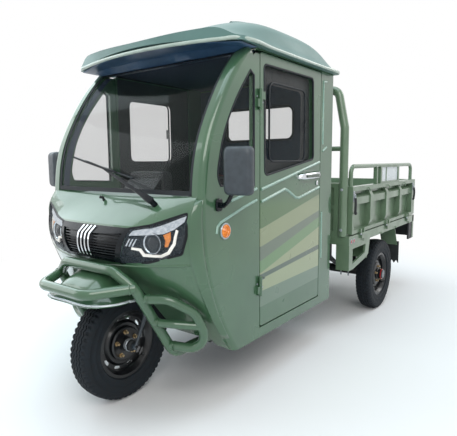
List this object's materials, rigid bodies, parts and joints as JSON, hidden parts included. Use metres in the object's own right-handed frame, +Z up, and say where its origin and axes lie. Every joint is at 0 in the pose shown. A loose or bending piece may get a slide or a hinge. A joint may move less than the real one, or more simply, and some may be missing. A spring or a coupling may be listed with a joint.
{
  "type": "electric cargo tricycle",
  "caption": "Three-wheeled electric goods carrier with a closed cab, hinged doors and a drop-sided load bed, steered by one raked front fork.",
  "frame": {"origin": "middle of the overall length and width, on the ground", "axes": "+X to the vehicle's left, -Y to its front, +Z up"},
  "size_m": [1.394, 3.22, 1.8537],
  "materials": {
    "body_green": "gloss enamel, sage green",
    "chassis_black": "semi-gloss black chassis paint",
    "wheel_black": "gloss black wheel paint",
    "motor_grey": "cast, bare",
    "spring_steel": "dark spring steel",
    "tyre": "ribbed road tyre",
    "flap_rubber": "matt moulded rubber",
    "trim_black": "moulded black trim",
    "mirror_grey": "grained dark grey plastic",
    "dash_plastic": "grained dark plastic",
    "seat_vinyl": "padded black vinyl",
    "glass": "clear, faint green tint",
    "lamp_lens": "clear moulded lens over bright reflectors",
    "amber_lens": "amber lens",
    "red_lens": "red lens",
    "chrome_trim": "polished"
  },
  "bodies": {
    "chassis": {"battery_box": "chassis_black", "bed_floor": "body_green", "cab_floor": "chassis_black", "cab_rear_wall": "body_green", "cab_side_frames": "body_green", "chassis_frame": "chassis_black", "dashboard": "dash_plastic", "drive_motor": "motor_grey", "fixed_windows": "glass", "front_bumper": "body_green", "front_fascia": "body_green", "front_mudguard": "body_green", "front_pillars": "body_green", "grille": "trim_black", "headboard": "body_green", "headboard_hoop": "body_green", "headlamps": "lamp_lens", "leaf_springs": "spring_steel", "mirrors": "mirror_grey", "mud_flaps": "flap_rubber", "quarter_panels": "body_green", "rear_axle": "chassis_black", "rear_mudguards": "body_green", "roof": "body_green", "seat_backrest": "seat_vinyl", "seat_base": "dash_plastic", "seat_cushion": "seat_vinyl", "side_markers": "amber_lens", "steering_head": "chassis_black", "tail_lamps": "red_lens", "tail_panel": "chassis_black", "under_bed_guards": "body_green", "windscreen": "glass", "wiper": "trim_black"},
    "front_wheel": {"front_tyre": "tyre", "front_rim": "wheel_black"},
    "rear_left_wheel": {"rear_left_tyre": "tyre", "rear_left_rim": "wheel_black"},
    "rear_right_wheel": {"rear_right_tyre": "tyre", "rear_right_rim": "wheel_black"},
    "steering": {"front_fork": "chassis_black", "handlebar": "chassis_black"},
    "left_door": {"left_door": "body_green", "left_door_glass": "glass", "left_door_handle": "chrome_trim"},
    "right_door": {"right_door": "body_green", "right_door_glass": "glass", "right_door_handle": "chrome_trim"},
    "left_side_board": {"left_side_board": "body_green"},
    "right_side_board": {"right_side_board": "body_green"},
    "tailgate": {"tailgate": "body_green"}
  },
  "joints": [
    {"name": "steering_turn", "type": "hinge", "parent": "chassis", "child": "steering", "pos_m": [0, -1.05776, 0.60574], "axis": [0, 0.454, 0.891], "range_deg": [-40, 40]},
    {"name": "front_wheel_spin", "type": "hinge", "parent": "steering", "child": "front_wheel", "pos_m": [0, -1.275, 0.2675], "axis": [1, 0, 0], "continuous": true},
    {"name": "rear_left_wheel_spin", "type": "hinge", "parent": "chassis", "child": "rear_left_wheel", "pos_m": [0.525, 0.805, 0.2675], "axis": [1, 0, 0], "continuous": true},
    {"name": "rear_right_wheel_spin", "type": "hinge", "parent": "chassis", "child": "rear_right_wheel", "pos_m": [-0.525, 0.805, 0.2675], "axis": [1, 0, 0], "continuous": true},
    {"name": "left_door_hinge", "type": "hinge", "parent": "chassis", "child": "left_door", "pos_m": [0.535, -0.855, 0.985], "axis": [0, 0, -1], "range_deg": [0, 75]},
    {"name": "right_door_hinge", "type": "hinge", "parent": "chassis", "child": "right_door", "pos_m": [-0.535, -0.855, 0.985], "axis": [0, 0, 1], "range_deg": [0, 75]},
    {"name": "left_board_hinge", "type": "hinge", "parent": "chassis", "child": "left_side_board", "pos_m": [0.612, 0.84, 0.655], "axis": [0, 1, 0], "range_deg": [0, 170]},
    {"name": "right_board_hinge", "type": "hinge", "parent": "chassis", "child": "right_side_board", "pos_m": [-0.612, 0.84, 0.655], "axis": [0, -1, 0], "range_deg": [0, 170]},
    {"name": "tailgate_hinge", "type": "hinge", "parent": "chassis", "child": "tailgate", "pos_m": [0, 1.602, 0.655], "axis": [-1, 0, 0], "range_deg": [0, 170]}
  ]
}
